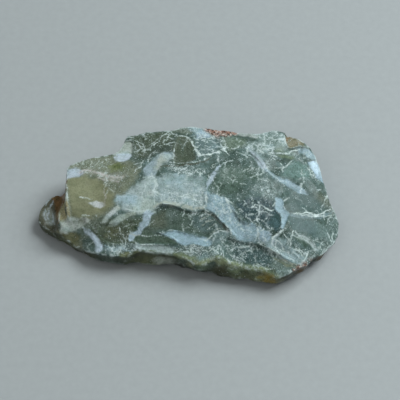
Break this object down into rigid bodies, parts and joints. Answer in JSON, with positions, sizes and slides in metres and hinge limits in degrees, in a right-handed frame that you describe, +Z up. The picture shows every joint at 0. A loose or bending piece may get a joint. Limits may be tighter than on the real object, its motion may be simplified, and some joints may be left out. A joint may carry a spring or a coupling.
{
  "type": "raw vesuvianite specimen",
  "caption": "Rough flat slab of raw green vesuvianite with stepped flake scars, chipped edges and a low tongue at one end, lying on its flat broken face.",
  "frame": {"origin": "on the resting face, under the middle of the stone's box", "axes": "+X along the slab's length, away from the low tongue; +Y across it, from the thin front edge to the thick back edge; +Z up from the resting face"},
  "size_m": [0.0904, 0.0486, 0.016],
  "materials": {
    "green_stone": "waxy translucent gray-green stone with chalky white cracks, pale flake scars and brown weathered edges"
  },
  "bodies": {
    "root": {"vesuvianite_chunk": "green_stone"}
  },
  "joints": []
}
